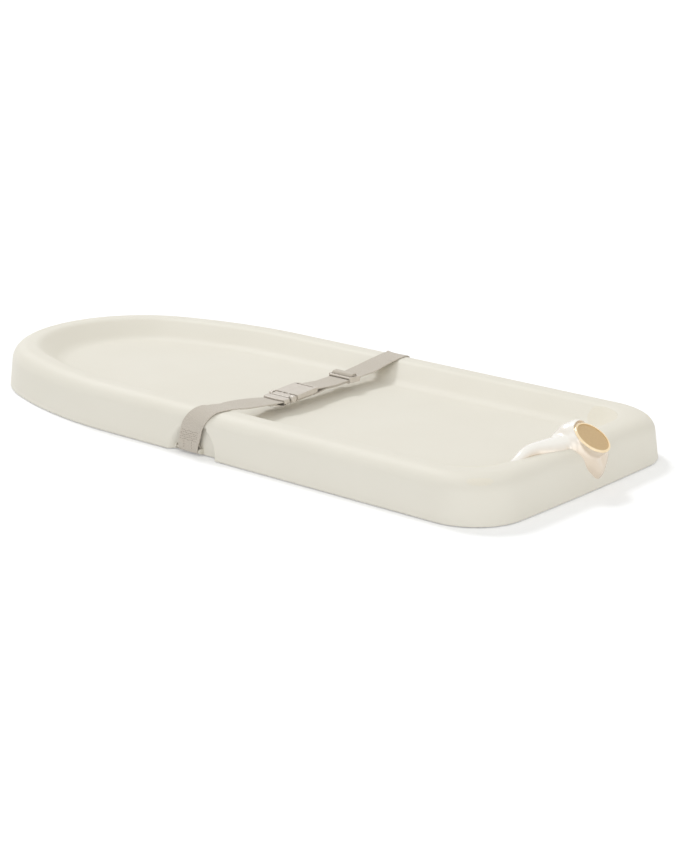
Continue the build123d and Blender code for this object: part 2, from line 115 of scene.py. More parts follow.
floor_half = 6.0
floor_mesh = bpy.data.meshes.new("studio_floor")
floor_corners = [(x * floor_half, y * floor_half, 0) for x, y in ((-1, -1), (1, -1), (1, 1), (-1, 1))]
floor_mesh.from_pydata(floor_corners, [], [(0, 1, 2, 3)])
floor = bpy.data.objects.new("studio_floor", floor_mesh)
bpy.context.collection.objects.link(floor)
paper = bpy.data.materials.new("studio_paper")
paper.use_nodes = True
paper_shader = paper.node_tree.nodes["Principled BSDF"]
paper_shader.inputs["Base Color"].default_value = (0.915, 0.925, 0.95, 1.0)
paper_shader.inputs["Roughness"].default_value = 0.9
paper_shader.inputs["Emission Color"].default_value = (1.0, 1.0, 1.0, 1.0)
white_backdrop(paper.node_tree, paper_shader.inputs["Emission Strength"], 0.0, paper_glow)
floor.data.materials.append(paper)


def lamp(name, direction, strength, soft_angle, colour=(1.0, 1.0, 1.0)):
    """A distant soft lamp that shines along direction; soft_angle is in degrees."""
    data = bpy.data.lights.new(name, "SUN")
    data.color = colour
    data.energy = strength
    data.angle = math.radians(soft_angle)
    obj = bpy.data.objects.new(name, data)
    bpy.context.collection.objects.link(obj)
    obj.rotation_mode = "QUATERNION"
    obj.rotation_quaternion = Vector(direction).to_track_quat("-Z", "Y")


lamp("key_lamp", (0.62, -0.22, -0.72), 1.03, 14, (0.99, 1.0, 1.02))
lamp("near_lamp", (-0.20, 0.90, -0.35), 0.53, 60, (0.98, 1.0, 1.04))
lamp("foot_lamp", (-0.90, 0.10, -0.35), 0.45, 60)

# ---- Pad moulding -------------------------------------------------------------------------------
# One-piece polyurethane foam moulding with an integral skin, matt off-white. The rim is drafted outside,
# rounded over the crest and runs down at a slope into the lying basin. A half-round recess on each long
# wall takes the end of the belt: it fades in from the head side and ends crisply on the foot side.
mm = 0.001
base_z = pad_low.z
rim_z = pad_high.z
half_length = (pad_high.x - pad_low.x) / 2
half_width = (pad_high.y - pad_low.y) / 2
nose_radius = 155 * mm
head_taper = -125 * mm
corner_radius = 61 * mm
foot_bow = 3.7 * mm
crest_radius = 19 * mm
lip_radius = 14 * mm
basin_radius = 26 * mm
basin_corner = 38 * mm
basin_inset = 62 * mm
basin_floor = base_z + 27 * mm
wall_slope = math.tan(math.radians(6.4))
inner_wall = math.radians(40)
recess_centre = 10 * mm
recess_radius = 36 * mm
recess_depth = 8.5 * mm
recess_lip = 0.8 * mm
recess_fade = 12 * mm
recess_edge = 1.6 * mm
recess_margin = 5 * mm


def arc_points(centre, radius, start, end, count):
    """Points on an arc without its last one, so that the next stretch can begin there."""
    t = np.linspace(start, end, count, endpoint=False)
    return np.c_[centre[0] + radius * np.cos(t), centre[1] + radius * np.sin(t)]


def half_outline(inset, corner, straight):
    """Near half of the outline at an inset, from the nose to the middle of the foot edge."""
    nose_x = nose_radius - half_length
    reach = (head_taper - nose_x) ** 2 + half_width**2 - nose_radius**2
    flank = reach / (2 * (half_width - nose_radius))
    flank_centre = (head_taper, flank - half_width)
    join = math.atan2(-flank_centre[1], nose_x - flank_centre[0])
    nose = arc_points((nose_x, 0), nose_radius - inset, math.pi, 2 * math.pi + join, 56)
    taper = arc_points(flank_centre, flank - inset, 2 * math.pi + join, 1.5 * math.pi, 40)
    bow_radius = (half_width**2 + foot_bow**2) / (2 * foot_bow)
    bow_x = half_length - bow_radius
    corner_y = half_width - inset - corner
    corner_x = bow_x + math.sqrt((bow_radius - inset - corner) ** 2 - corner_y**2)
    turn = -math.atan2(corner_y, corner_x - bow_x)
    side_x = head_taper + (corner_x - head_taper) * straight
    side = np.c_[side_x, np.full(len(straight), inset - half_width)]
    bend = arc_points((corner_x, -corner_y), corner, -math.pi / 2, turn, 22)
    foot = arc_points((bow_x, 0), bow_radius - inset, turn, 0, 24)
    return np.vstack([nose, taper, side, bend, foot])


def rim_profile():
    """The rim's section as (inset, height): up the wall, over the crest and down into the basin."""
    wall_top = rim_z - crest_radius
    crest_s = (wall_top - base_z) * wall_slope + crest_radius / math.cos(math.atan(wall_slope))
    edge_s = basin_inset - (rim_z - basin_floor) / math.tan(inner_wall)
    lip_run = lip_radius * math.tan(inner_wall / 2)
    toe_run = basin_radius * math.tan(inner_wall / 2)
    rows = [(3 * mm, base_z), (1.2 * mm, base_z)]
    rows += [(0.5 * mm, base_z + 0.15 * mm), (0.15 * mm, base_z + 0.6 * mm)]
    rows += [((z - base_z) * wall_slope, z) for z in np.linspace(base_z + 1.2 * mm, wall_top, 30)]
    for a in np.linspace(math.pi - math.atan(wall_slope), math.pi / 2, 16)[1:]:
        rows.append((crest_s + crest_radius * math.cos(a), wall_top + crest_radius * math.sin(a)))
    rows += [(s, rim_z) for s in np.linspace(crest_s, edge_s - lip_run, 5)[1:]]
    for a in np.linspace(0, inner_wall, 10)[1:]:
        rows.append((edge_s - lip_run + lip_radius * math.sin(a), rim_z - lip_radius * (1 - math.cos(a))))
    toe_s = basin_inset + toe_run
    for a in np.linspace(inner_wall, 0, 12):
        rows.append((toe_s - basin_radius * math.sin(a), basin_floor + basin_radius * (1 - math.cos(a))))
    rows.append((toe_s + 4 * mm, basin_floor))
    return np.array(rows)


def new_piece(name, points, faces):
    """A smooth-shaded mesh object from points in metres in the part's frame."""
    mesh = bpy.data.meshes.new(name)
    mesh.from_pydata([tuple(p) for p in points], [], faces)
    mesh.polygons.foreach_set("use_smooth", [True] * len(mesh.polygons))
    mesh.update()
    obj = bpy.data.objects.new(name, mesh)
    bpy.context.collection.objects.link(obj)
    return obj


def straight_stations():
    """Places along the straight side as shares of its length, close together at the recess."""
    corner_x = half_length - foot_bow - corner_radius
    low = recess_centre - recess_radius - recess_margin
    high = recess_centre + recess_radius + recess_margin
    x = np.r_[np.linspace(head_taper, low, 16, endpoint=False),
              np.linspace(low, high, 84, endpoint=False),
              np.linspace(high, corner_x, 30, endpoint=False)]
    return (x - head_taper) / (corner_x - head_taper)


def pad_mesh():
    """Sweeps the rim profile round the outline and presses the two recesses into the walls."""
    stations = straight_stations()
    outer = half_outline(0, corner_radius, stations)
    inner = half_outline(basin_inset, basin_corner, stations)
    ring_out = np.vstack([outer, [(half_length, 0)], outer[:0:-1] * (1, -1)])
    ring_in = np.vstack([inner, [(half_length - basin_inset, 0)], inner[:0:-1] * (1, -1)])
    rows = []
    for s, z in rim_profile():
        ring = ring_out + (ring_in - ring_out) * (s / basin_inset)
        if z < base_z + recess_radius + 3 * mm and s < 12 * mm:
            reach = np.hypot(ring[:, 0] - recess_centre, z - base_z)
            soft = np.where(ring[:, 0] < recess_centre, recess_fade, recess_edge)
            press = np.clip((recess_radius + recess_lip - reach) / soft, 0, 1)
            press = press * press * (3 - 2 * press)
            ring = ring.copy()
            ring[:, 1] -= np.sign(ring[:, 1]) * press * (recess_depth - (z - base_z) * wall_slope)
        rows.append(np.c_[ring[:, 0] + pad_centre.x, ring[:, 1], np.full(len(ring), z)])
    count = len(rows[0])
    points = np.vstack(rows)
    faces = []
    for r in range(len(rows) - 1):
        a, b = r * count, (r + 1) * count
        faces += [(a + i, a + (i + 1) % count, b + (i + 1) % count, b + i) for i in range(count)]
    last = (len(rows) - 1) * count
    faces.append(tuple(range(last, last + count)))
    faces.append(tuple(range(count - 1, -1, -1)))
    return points, faces


def plain_finish(name, colour, roughness):
    """A new node material with its main shader's colour and roughness set."""
    material = bpy.data.materials.new(name)
    material.use_nodes = True
    shader = material.node_tree.nodes["Principled BSDF"]
    shader.inputs["Base Color"].default_value = (*colour, 1.0)
    shader.inputs["Roughness"].default_value = roughness
    return material, shader


def mottle(material, shader, light, dark, size):
    """Slow colour variation between two tones, with patches of about size metres."""
    nodes, links = material.node_tree.nodes, material.node_tree.links
    place = nodes.new("ShaderNodeTexCoord")
    noise = nodes.new("ShaderNodeTexNoise")
    noise.inputs["Scale"].default_value = 1 / size
    noise.inputs["Detail"].default_value = 3.0
    ramp = nodes.new("ShaderNodeValToRGB")
    ramp.color_ramp.elements[0].position = 0.3
    ramp.color_ramp.elements[1].position = 0.7
    ramp.color_ramp.elements[0].color = (*dark, 1.0)
    ramp.color_ramp.elements[1].color = (*light, 1.0)
    links.new(place.outputs["Object"], noise.inputs["Vector"])
    links.new(noise.outputs["Fac"], ramp.inputs["Fac"])
    links.new(ramp.outputs["Color"], shader.inputs["Base Color"])


def grain(material, shader, size, depth, strength=1.0):
    """Fine raised grain with bumps of about size metres, depth metres high."""
    nodes, links = material.node_tree.nodes, material.node_tree.links
    place = nodes.new("ShaderNodeTexCoord")
    noise = nodes.new("ShaderNodeTexNoise")
    noise.inputs["Scale"].default_value = 1 / size
    noise.inputs["Detail"].default_value = 2.0
    bump = nodes.new("ShaderNodeBump")
    bump.inputs["Distance"].default_value = depth
    bump.inputs["Strength"].default_value = strength
    links.new(place.outputs["Object"], noise.inputs["Vector"])
    links.new(noise.outputs["Fac"], bump.inputs["Height"])
    links.new(bump.outputs["Normal"], shader.inputs["Normal"])


pad = new_piece("pad_moulding", *pad_mesh())
skin, skin_shader = plain_finish("moulded_skin", (0.80, 0.77, 0.69), 0.58)
mottle(skin, skin_shader, (0.824, 0.796, 0.716), (0.808, 0.778, 0.694), 0.09)
grain(skin, skin_shader, 0.0011, 0.00004, 0.6)
pad.data.materials.append(skin)
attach(pad, "pad")
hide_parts("outer_skin")

foam, foam_shader = plain_finish("open_foam", (0.84, 0.80, 0.70), 0.95)
grain(foam, foam_shader, 0.0018, 0.0004)


def dress(node, material):
    """Gives a node of the frame its real finish."""
    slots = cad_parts[node].data.materials
    slots.clear()
    slots.append(material)


dress("foam_core", foam)

# ---- Rubber feet --------------------------------------------------------------------------------
# Seven soft rubber discs glued into the underside, which lift the moulding a millimetre off the table
# and keep it from sliding. Moulded grey-beige rubber with a fine matt grain.
foot_rubber, foot_shader = plain_finish("foot_rubber", (0.50, 0.47, 0.42), 0.8)
mottle(foot_rubber, foot_shader, (0.53, 0.50, 0.45), (0.46, 0.43, 0.38), 0.004)
grain(foot_rubber, foot_shader, 0.0006, 0.00006)
for number in range(1, 8):
    dress(f"rubber_foot_{number}", foot_rubber)

# ---- Strap anchors ------------------------------------------------------------------------------
# A folded steel bracket, enamelled in the colour of the pad, is screwed into a plywood block moulded
# into the foam. The strap's end loops round its bar.
enamel, enamel_shader = plain_finish("cream_enamel", (0.72, 0.69, 0.61), 0.42)
mottle(enamel, enamel_shader, (0.74, 0.71, 0.63), (0.70, 0.665, 0.585), 0.012)
grain(enamel, enamel_shader, 0.0009, 0.00003)
screw_steel, screw_shader = plain_finish("zinc_screws", (0.62, 0.62, 0.63), 0.34)
screw_shader.inputs["Metallic"].default_value = 1.0
mottle(screw_steel, screw_shader, (0.66, 0.66, 0.67), (0.55, 0.55, 0.57), 0.003)
ply_wood, ply_shader = plain_finish("ply_insert", (0.55, 0.40, 0.24), 0.75)
mottle(ply_wood, ply_shader, (0.60, 0.45, 0.28), (0.45, 0.31, 0.18), 0.006)
for side in ("near", "far"):
    dress(f"anchor_bracket_{side}", enamel)
    dress(f"anchor_bar_{side}", enamel)
    dress(f"anchor_screws_{side}", screw_steel)
    dress(f"anchor_block_{side}", ply_wood)

# ---- Webbing ------------------------------------------------------------------------------------
# Greige polyester webbing, 29.5 mm wide and 1.4 mm thick, woven with fine ribs across it and firm
# rounded selvedges. Each strap's outer end is folded round its anchor bar and sewn to itself; it runs
# up the recess, over the rim and slants across the basin to the buckle.
shift = pad_centre.x
web = 1.4 * mm
web_width = 29.5 * mm
gap = 0.3 * mm
ply = web + 0.1 * mm
rib_pitch = 1.15 * mm
rib_height = 0.10 * mm
yarn_width = 0.9 * mm
belt_x = shift + 27 * mm
wall_top = rim_z - crest_radius
crest_y = half_width - (wall_top - base_z) * wall_slope - crest_radius / math.cos(math.atan(wall_slope))
turn_radius = crest_radius + gap + web / 2
leg_y = crest_y + turn_radius
crest_z = rim_z + gap + web / 2
run_z = 42.4 * mm
pitch = math.radians(3.2)
pivot_y = -35.6 * mm
wrap = (1.55 + 0.15) * mm + web / 2
lip_y = half_width - 32 * mm
split_y = half_width - 46 * mm


def on_buckle(y, z):
    """A point of the level buckle, where it lies once the buckle is pitched."""
    dy, dz = y - pivot_y, z - run_z
    return (pivot_y + dy * math.cos(pitch) - dz * math.sin(pitch),
            run_z + dy * math.sin(pitch) + dz * math.cos(pitch))


plug_tip = on_buckle(-62.3 * mm, run_z)
slider_y = 53.2 * mm
slider_end = slider_y + 18.5 * mm
near_slope = (crest_z - plug_tip[1]) / (lip_y + plug_tip[0])
far_slope = (crest_z - run_z) / (lip_y - slider_end - gap)


def rounded(route, radii, step=0.25 * mm):
    """Even points along a route of (y, z) corners with a radius at each inner corner."""
    route = [np.array(p, float) for p in route]
    rows = [route[0]]
    for before, corner, after, radius in zip(route, route[1:], route[2:], radii):
        a, b = before - corner, after - corner
        a, b = a / np.linalg.norm(a), b / np.linalg.norm(b)
        half = math.acos(np.clip(a @ b, -1, 1)) / 2
        if half > math.pi / 2 - 1e-4:
            rows.append(corner)
            continue
        centre = corner + (a + b) / np.linalg.norm(a + b) * radius / math.sin(half)
        start = corner + a * radius / math.tan(half) - centre
        end = corner + b * radius / math.tan(half) - centre
        sweep = math.atan2(start[0] * end[1] - start[1] * end[0], start @ end)
        count = max(4, int(abs(sweep) * radius / step))
        for t in np.linspace(0, sweep, count + 1):
            turn = np.array([[math.cos(t), -math.sin(t)], [math.sin(t), math.cos(t)]])
            rows.append(centre + turn @ start)
    rows.append(route[-1])
    rows = np.array(rows)
    run = np.r_[0, np.cumsum(np.linalg.norm(np.diff(rows, axis=0), axis=1))]
    keep = np.r_[True, np.diff(run) > 1e-7]
    even = np.linspace(0, run[-1], max(8, int(run[-1] / step)))
    return np.c_[np.interp(even, run[keep], rows[keep, 0]), np.interp(even, run[keep], rows[keep, 1])]


weave, weave_shader = plain_finish("greige_webbing", (0.60, 0.55, 0.48), 0.82)
weave_shader.inputs["Sheen Weight"].default_value = 0.25
weave_shader.inputs["Sheen Roughness"].default_value = 0.5
weave_nodes, weave_links = weave.node_tree.nodes, weave.node_tree.links
flow = weave_nodes.new("ShaderNodeUVMap")
flow.uv_map = "weave"
yarn_place = weave_nodes.new("ShaderNodeMapping")
yarn_place.inputs["Scale"].default_value = (1 / yarn_width, 1 / rib_pitch, 1.0)
weave_links.new(flow.outputs["UV"], yarn_place.inputs["Vector"])
yarn = weave_nodes.new("ShaderNodeTexNoise")
yarn.inputs["Scale"].default_value = 1.0
yarn.inputs["Detail"].default_value = 2.0
weave_links.new(yarn_place.outputs["Vector"], yarn.inputs["Vector"])
tone = weave_nodes.new("ShaderNodeValToRGB")
tone.color_ramp.elements[0].position = 0.32
tone.color_ramp.elements[1].position = 0.68
tone.color_ramp.elements[0].color = (0.500, 0.450, 0.385, 1.0)
tone.color_ramp.elements[1].color = (0.645, 0.595, 0.525, 1.0)
weave_links.new(yarn.outputs["Fac"], tone.inputs["Fac"])
weave_links.new(tone.outputs["Color"], weave_shader.inputs["Base Color"])
fuzz = weave_nodes.new("ShaderNodeBump")
fuzz.inputs["Distance"].default_value = 0.00008
fuzz.inputs["Strength"].default_value = 0.7
weave_links.new(yarn.outputs["Fac"], fuzz.inputs["Height"])
weave_links.new(fuzz.outputs["Normal"], weave_shader.inputs["Normal"])


def webbing_piece(name, line, centre_x, tilt=None):
    """Ribbed webbing along a line of (y, z) points; centre_x and tilt are given at each point."""
    count = len(line)
    centre = np.c_[np.broadcast_to(centre_x, count), line]
    along = np.gradient(centre, axis=0)
    along /= np.linalg.norm(along, axis=1)[:, None]
    tilt = np.zeros(count) if tilt is None else tilt
    across = np.c_[np.cos(tilt), np.zeros(count), np.sin(tilt)]
    across -= along * (across * along).sum(1)[:, None]
    across /= np.linalg.norm(across, axis=1)[:, None]
    normal = np.cross(across, along)
    run = np.r_[0, np.cumsum(np.linalg.norm(np.diff(line, axis=0), axis=1))]
    rib = rib_height * (np.abs(np.sin(np.pi * run / rib_pitch)) ** 0.7 - 1)
    half = web / 2
    edge = web_width / 2
    flat = np.linspace(-edge + 1.1 * mm, edge - 1.1 * mm, 9)
    top = [(x, 1.0, 1.0) for x in flat]
    nose = [(edge - 0.45 * mm, 0.97, 0.8), (edge - 0.1 * mm, 0.6, 0.4), (edge, 0.0, 0.2)]
    ring = top + nose + [(x, -h, r) for x, h, r in nose[1::-1]] + [(x, -1.0, 1.0) for x in flat[::-1]]
    ring += [(-x, -h, r) for x, h, r in nose] + [(-x, h, r) for x, h, r in nose[1::-1]]
    rows = []
    for x, h, r in ring:
        thick = h * half + np.sign(h) * rib * r
        rows.append(centre + across * x + normal * thick[:, None])
    points = np.stack(rows, axis=1).reshape(-1, 3)
    size = len(ring)
    faces = [tuple(range(size - 1, -1, -1)), tuple(range((count - 1) * size, count * size))]
    for i in range(count - 1):
        a, b = i * size, (i + 1) * size
        faces += [(a + j, a + (j + 1) % size, b + (j + 1) % size, b + j) for j in range(size)]
    obj = new_piece(name, points, faces)
    mesh = obj.data
    uv = mesh.uv_layers.new(name="weave")
    lengths = np.repeat(run, size)
    girth = np.tile([x for x, h, r in ring], count)
    loops = np.zeros(len(mesh.loops), int)
    mesh.loops.foreach_get("vertex_index", loops)
    uv.data.foreach_set("uv", np.c_[girth[loops], lengths[loops]].astype(np.float32).ravel())
    obj.data.materials.append(weave)
    return obj


loop_radius = (1.5 + 0.15) * mm + web / 2
bar_y = leg_y - loop_radius
bar_height = 5.5 * mm


def leg_line(slope):
    """The strap's end from its sewn ply round the bar, up the recess, over the rim to the split."""
    inner = leg_y - ply
    loop_y = bar_y - loop_radius
    low = bar_height - loop_radius
    route = [(inner, 28 * mm), (inner, 14 * mm), (loop_y, 9.5 * mm), (loop_y, low), (leg_y, low),
             (leg_y, crest_z), (lip_y, crest_z), (split_y, crest_z - slope * (lip_y - split_y))]
    return rounded(route, [r * mm for r in (4, 3, 2.3, 2.3)] + [turn_radius, 60 * mm])


# How far a strap's middle has drifted towards the foot end, at each length of its climb from the bar.
leg_climb = np.array([0, 11, 22.6, 32, 40, 51.6, 59.3, 67.8, 82, 100]) * mm
near_drift = np.array([4.6, 4.9, 8.0, 12, 15.3, 20.5, 24, 26.4, 27.6, 27.8]) * mm
far_drift = np.array([4.6, 4.9, 8.0, 13, 18.5, 25.5, 27.4, 27.8, 27.8, 27.8]) * mm
for name, hand, slope, drift in (("near", -1, near_slope, near_drift), ("far", 1, far_slope, far_drift)):
    line = leg_line(slope)
    run = np.r_[0, np.cumsum(np.linalg.norm(np.diff(line, axis=0), axis=1))]
    outer = np.argmin(np.where(run < 60 * mm, line[:, 1], 1.0))
    climb = np.where(run < run[outer], line[:, 1] - line[outer, 1], run - run[outer])
    centre_x = shift + np.interp(climb, leg_climb, drift)
    centre_x = np.convolve(np.pad(centre_x, 20, mode="edge"), np.ones(41) / 41, "valid")
    leg = webbing_piece(f"{name}_strap_leg", line * (hand, 1), centre_x)
    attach(leg, "pad")
    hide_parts(f"belt_{name}_leg")

near_bow = 0.3 * mm
near_twist = math.radians(-5.5)
far_sag = 1.1 * mm
far_twist = -0.05
span_drift = 0.8 * mm


def halves(names, line, centre_x, tilt):
    """A span of strap as two pieces that meet at its middle, so that each crosses one joint only."""
    middle = len(line) // 2
    first = webbing_piece(names[0], line[:middle + 1], centre_x[:middle + 1], tilt[:middle + 1])
    second = webbing_piece(names[1], line[middle:], centre_x[middle:], tilt[middle:])
    return first, second


near_top = crest_z - near_slope * (lip_y - split_y)
near_line = rounded([(-split_y, near_top), plug_tip], [])
share = (near_line[:, 0] + split_y) / (split_y + plug_tip[0])
near_line[:, 1] += near_bow * np.sin(np.pi * share)
near_tilt = near_twist * np.sin(np.pi * share ** 0.7) ** 0.8
near_x = belt_x + span_drift * (1 - share) ** 2
near_upper, near_lower = halves(("near_strap_upper", "near_strap_lower"), near_line, near_x, near_tilt)
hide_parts("belt_near_span")
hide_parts("belt_near_span")
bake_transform(near_upper)
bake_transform(near_lower)

far_top = crest_z - far_slope * (lip_y - split_y)
far_line = rounded([(slider_end + gap, run_z), (split_y, far_top)], [])
share = (far_line[:, 0] - slider_end) / (split_y - slider_end)
far_line[:, 1] -= far_sag * np.sin(np.pi * share) ** 2
far_tilt = far_twist * np.sin(np.pi * share) ** 2
far_x = belt_x + span_drift * share ** 4
far_lower, far_upper = halves(("far_strap_lower", "far_strap_upper"), far_line, far_x, far_tilt)
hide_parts("belt_far_span")
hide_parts("belt_far_span")
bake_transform(far_lower)
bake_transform(far_upper)

plug_end = -62 * mm
plug_bar = plug_end + 5.3 * mm
rise = math.tan(math.atan(near_slope) + pitch)
under = run_z - 2 * wrap
route = [(plug_end, run_z), (plug_bar + wrap, run_z), (plug_bar + wrap, under), (plug_end - 1 * mm, under),
         (plug_end - 11 * mm, run_z + 11 * mm * rise - ply),
         (plug_end - 20 * mm, run_z + 20 * mm * rise - ply)]
near_end = rounded([on_buckle(*p) for p in route], [r * mm for r in (2.35, 2.35, 8, 8)])
plug_wrap = webbing_piece("plug_webbing", near_end, belt_x)
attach(plug_wrap, "plug")
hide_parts("belt_near_end")

socket_end = -3 * mm
socket_bar = socket_end - 5.3 * mm
sag_y, join_y, sag_z = 28 * mm, 14 * mm, run_z - 0.6 * mm
leave = on_buckle(socket_end + 2 * mm, run_z)
join_z = sag_z + (leave[1] - sag_z) * (sag_y - join_y) / (sag_y - leave[0]) - ply - 0.15 * mm
route = [(slider_y - gap, run_z), (sag_y, sag_z), leave, on_buckle(socket_bar - wrap, run_z),
         on_buckle(socket_bar - wrap, under), on_buckle(socket_end + 3 * mm, under), (join_y, join_z),
         (sag_y, sag_z - ply), (slider_y - gap, run_z - ply)]
loop_line = rounded(route, [r * mm for r in (100, 50, 2.35, 2.35, 30, 30, 100)])
loop = webbing_piece("adjusting_loop", loop_line, belt_x)
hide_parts("belt_loop")
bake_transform(loop)

slider_mid = slider_y + 9.25 * mm
side = (1.7 + 0.2) * mm + web / 2
top = run_z + (1.2 + 2.4 + 0.2) * mm + web / 2
low = run_z - 2 * ply
route = [(slider_y, run_z - ply), (slider_mid - side, run_z - ply), (slider_mid - side, top),
         (slider_mid + side, top), (slider_mid + side, low), (slider_y + 0.4 * mm, low)]
sewn = webbing_piece("sewn_end", rounded(route, [r * mm for r in (0.9, 1.2, 1.2, 1.2)]), belt_x)
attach(sewn, "slider")
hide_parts("belt_sewn_end")
flank, crown = side + ply, top + ply
route = [(slider_y, run_z), (slider_mid - flank - 0.9 * mm, run_z), (slider_mid - flank, crown),
         (slider_mid + flank, crown), (slider_mid + flank + 0.9 * mm, run_z), (slider_end, run_z)]
roll = webbing_piece("slider_roll", rounded(route, [r * mm for r in (1.0, 2.2, 2.2, 1.0)]), belt_x)
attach(roll, "slider")
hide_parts("belt_over_slider")

# ---- Buckle and slider --------------------------------------------------------------------------
# Side-release buckle and tri-glide slider, moulded in one greige acetal plastic with a satin face
# and softly rounded edges; the latch arms spring from the plug.
moulded, moulded_shader = plain_finish("moulded_greige", (0.640, 0.575, 0.515), 0.36)
moulded_nodes, moulded_links = moulded.node_tree.nodes, moulded.node_tree.links
mottle(moulded, moulded_shader, (0.660, 0.605, 0.540), (0.615, 0.560, 0.495), 0.006)
# Painted shade: ambient occlusion darkens the plastic's colour in the tight slots, gaps and crevices of the
# buckle and slider, down to 0.22 of its tone.
painted_crevice_shade = moulded_nodes.new("ShaderNodeAmbientOcclusion")
painted_crevice_shade.samples = 8
painted_crevice_shade.inputs["Distance"].default_value = 0.0022
depth = moulded_nodes.new("ShaderNodeMapRange")
depth.inputs["From Min"].default_value = 0.35
depth.inputs["From Max"].default_value = 0.85
depth.inputs["To Min"].default_value = 0.22
crevice_shaded_colour = moulded_nodes.new("ShaderNodeVectorMath")
crevice_shaded_colour.operation = "SCALE"
moulded_links.new(painted_crevice_shade.outputs["AO"], depth.inputs["Value"])
moulded_links.new(moulded_shader.inputs["Base Color"].links[0].from_socket, crevice_shaded_colour.inputs[0])
moulded_links.new(depth.outputs["Result"], crevice_shaded_colour.inputs["Scale"])
moulded_links.new(crevice_shaded_colour.outputs["Vector"], moulded_shader.inputs["Base Color"])
grain(moulded, moulded_shader, 0.0004, 0.00002, 0.5)
moulded_shader.inputs["Specular IOR Level"].default_value = 0.55
for node in ("buckle_plug", "buckle_socket", "latch_arm_head", "latch_arm_foot", "belt_slider"):
    dress(node, moulded)

# ---- Stitching ----------------------------------------------------------------------------------
# Brown polyester thread sews the doubled webbing. Each strap leg has two upright rows with five wavy
# rows across above them, and the tail at the plug has two straight rows across. Every stitch is a short
# raised thread that lies half in the webbing.
thread, thread_shader = plain_finish("sewing_thread", (0.30, 0.245, 0.195), 0.7)
mottle(thread, thread_shader, (0.34, 0.28, 0.22), (0.25, 0.20, 0.16), 0.0006)
stitch_sizes = {"Stitch Pitch": 2.6 * mm, "Stitch Length": 1.8 * mm, "Thread Radius": 0.28 * mm}


def stitch_tree():
    """Lays short threads end to end along a line."""
    tree = bpy.data.node_groups.new("stitch_row", "GeometryNodeTree")
    face = tree.interface
    face.new_socket("Geometry", in_out="INPUT", socket_type="NodeSocketGeometry")
    for label in stitch_sizes:
        face.new_socket(label, in_out="INPUT", socket_type="NodeSocketFloat")
    face.new_socket("Thread", in_out="INPUT", socket_type="NodeSocketMaterial")
    face.new_socket("Geometry", in_out="OUTPUT", socket_type="NodeSocketGeometry")
    make, join = tree.nodes.new, tree.links.new
    start, end = make("NodeGroupInput"), make("NodeGroupOutput")
    curve = make("GeometryNodeMeshToCurve")
    spaced = make("GeometryNodeCurveToPoints")
    spaced.mode = "LENGTH"
    capsule = make("GeometryNodeMeshIcoSphere")
    place = make("GeometryNodeInstanceOnPoints")
    size = make("ShaderNodeCombineXYZ")
    half = make("ShaderNodeMath")
    half.operation = "MULTIPLY"
    half.inputs[1].default_value = 0.5
    real = make("GeometryNodeRealizeInstances")
    coloured = make("GeometryNodeSetMaterial")
    capsule.inputs["Radius"].default_value = 1.0
    capsule.inputs["Subdivisions"].default_value = 2
    join(start.outputs["Geometry"], curve.inputs["Mesh"])
    join(curve.outputs["Curve"], spaced.inputs["Curve"])
    join(start.outputs["Stitch Pitch"], spaced.inputs["Length"])
    join(spaced.outputs["Points"], place.inputs["Points"])
    join(spaced.outputs["Rotation"], place.inputs["Rotation"])
    join(capsule.outputs["Mesh"], place.inputs["Instance"])
    join(start.outputs["Stitch Length"], half.inputs[0])
    join(start.outputs["Thread Radius"], size.inputs["X"])
    join(start.outputs["Thread Radius"], size.inputs["Y"])
    join(half.outputs[0], size.inputs["Z"])
    join(size.outputs["Vector"], place.inputs["Scale"])
    join(place.outputs["Instances"], real.inputs["Geometry"])
    join(real.outputs["Geometry"], coloured.inputs["Geometry"])
    join(start.outputs["Thread"], coloured.inputs["Material"])
    join(coloured.outputs["Geometry"], end.inputs["Geometry"])
    return tree


stitches = stitch_tree()


def sew(name, rows, body):
    """Sews rows of stitches, each a list of points lying on the webbing, and makes them one plain mesh."""
    points, edges = [], []
    for row in rows:
        edges += [(len(points) + i, len(points) + i + 1) for i in range(len(row) - 1)]
        points += [tuple(p) for p in row]
    mesh = bpy.data.meshes.new(name + "_lines")
    mesh.from_pydata(points, edges, [])
    guide = bpy.data.objects.new(name + "_guide", mesh)
    bpy.context.collection.objects.link(guide)
    modifier = guide.modifiers.new("stitches", "NODES")
    modifier.node_group = stitches
    inputs = [item for item in stitches.interface.items_tree if item.in_out == "INPUT"]
    sockets = {item.name: item.identifier for item in inputs}
    for label, value in stitch_sizes.items():
        modifier[sockets[label]] = value
    modifier[sockets["Thread"]] = thread
    bpy.context.view_layer.update()
    shape = bpy.data.meshes.new_from_object(guide.evaluated_get(bpy.context.evaluated_depsgraph_get()))
    bpy.data.objects.remove(guide)
    shape.name = name
    shape.polygons.foreach_set("use_smooth", [True] * len(shape.polygons))
    obj = bpy.data.objects.new(name, shape)
    bpy.context.collection.objects.link(obj)
    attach(obj, body)


def on_leg(hand, x, z):
    """A point on the outer face of a strap leg, x from its middle."""
    drift = near_drift if hand < 0 else far_drift
    return (shift + np.interp(z - 3.15 * mm, leg_climb, drift) + x, hand * (leg_y + web / 2 + 0.02 * mm), z)


